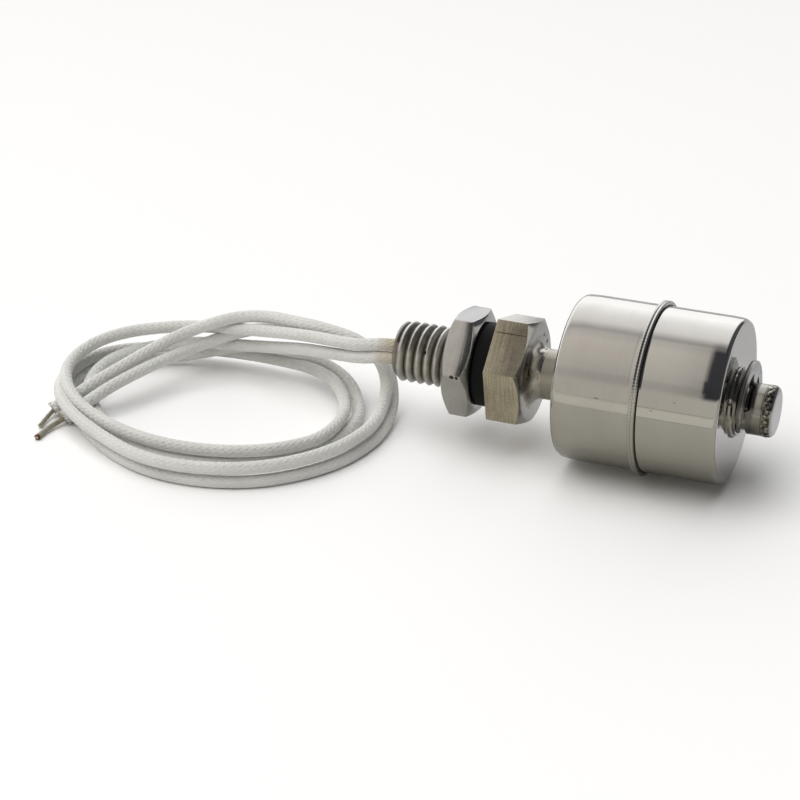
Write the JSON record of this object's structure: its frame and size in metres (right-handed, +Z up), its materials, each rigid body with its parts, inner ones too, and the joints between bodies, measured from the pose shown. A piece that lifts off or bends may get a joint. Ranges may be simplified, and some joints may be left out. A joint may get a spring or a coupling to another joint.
{
  "type": "float level switch",
  "caption": "Stainless steel float switch: a cylindrical float sliding on a thin stem below a threaded fitting, with a retaining clip and braided leads.",
  "frame": {"origin": "on the floor below the middle of the switch without its leads, as it lies on its float", "axes": "+X along the stem from the threaded shank to the closed tip, +Z up, leads towards -X"},
  "size_m": [0.1187, 0.0463, 0.0275],
  "materials": {
    "stainless_fitting": "turned stainless steel, worn bright on the thread crests",
    "stainless_stem": "polished stainless steel tube",
    "stainless_nut": "polished stainless steel",
    "stainless_float": "mirror-polished stainless steel sheet",
    "stainless_sleeve": "stainless steel tube with weld beads",
    "spring_steel": "flat stamped spring steel",
    "black_rubber": "dull black",
    "glass_braid": "white woven glass-fibre sleeving",
    "tinned_copper": "tinned copper strands",
    "resin": "yellowish potting resin",
    "insulator": "heat-resistant insulating sleeve",
    "capsule_glass": "greenish glass",
    "contact_alloy": "nickel-iron alloy",
    "copper_wire": "bare copper wire",
    "ferrite": "sintered ferrite, dark grey"
  },
  "bodies": {
    "stem": {"fitting": "stainless_fitting", "stem_tube": "stainless_stem", "end_plug": "stainless_stem", "retaining_clip": "spring_steel", "potting_plug": "resin", "reed_carrier": "insulator", "reed_capsule": "capsule_glass", "reed_blade_a": "contact_alloy", "reed_blade_b": "contact_alloy", "return_wire": "copper_wire", "inner_lead_a": "glass_braid", "inner_lead_b": "glass_braid", "lead_a": "glass_braid", "lead_b": "glass_braid", "lead_coil": "glass_braid", "lead_a_end": "glass_braid", "lead_b_end": "glass_braid", "lead_a_conductor": "tinned_copper", "lead_b_conductor": "tinned_copper"},
    "magnet": {"ring_magnet": "ferrite", "magnet_keeper_thread_side": "spring_steel", "magnet_keeper_tip_side": "spring_steel"},
    "float": {"float_shell_thread_side": "stainless_float", "float_shell_tip_side": "stainless_float", "float_sleeve": "stainless_sleeve"},
    "gasket": {"gasket": "black_rubber"},
    "nut": {"lock_nut": "stainless_nut"}
  },
  "joints": [
    {"name": "float_slide", "type": "slide", "parent": "stem", "child": "magnet", "axis": [1, 0, 0], "range_m": [-0.0034, 0.00055]},
    {"name": "float_spin", "type": "hinge", "parent": "magnet", "child": "float", "pos_m": [0.01132, 0, 0.01375], "axis": [1, 0, 0], "continuous": true},
    {"name": "nut_travel", "type": "slide", "parent": "stem", "child": "gasket", "axis": [-1, 0, 0], "range_m": [0, 0.0084]},
    {"name": "nut_turn", "type": "hinge", "parent": "gasket", "child": "nut", "pos_m": [-0.01897, 0, 0.01315], "axis": [-1, 0, 0], "range_deg": [0, 2015]}
  ],
  "couplings": [
    {"joint": "nut_travel", "follows": "nut_turn", "m_per_rad": 0.00023873}
  ]
}
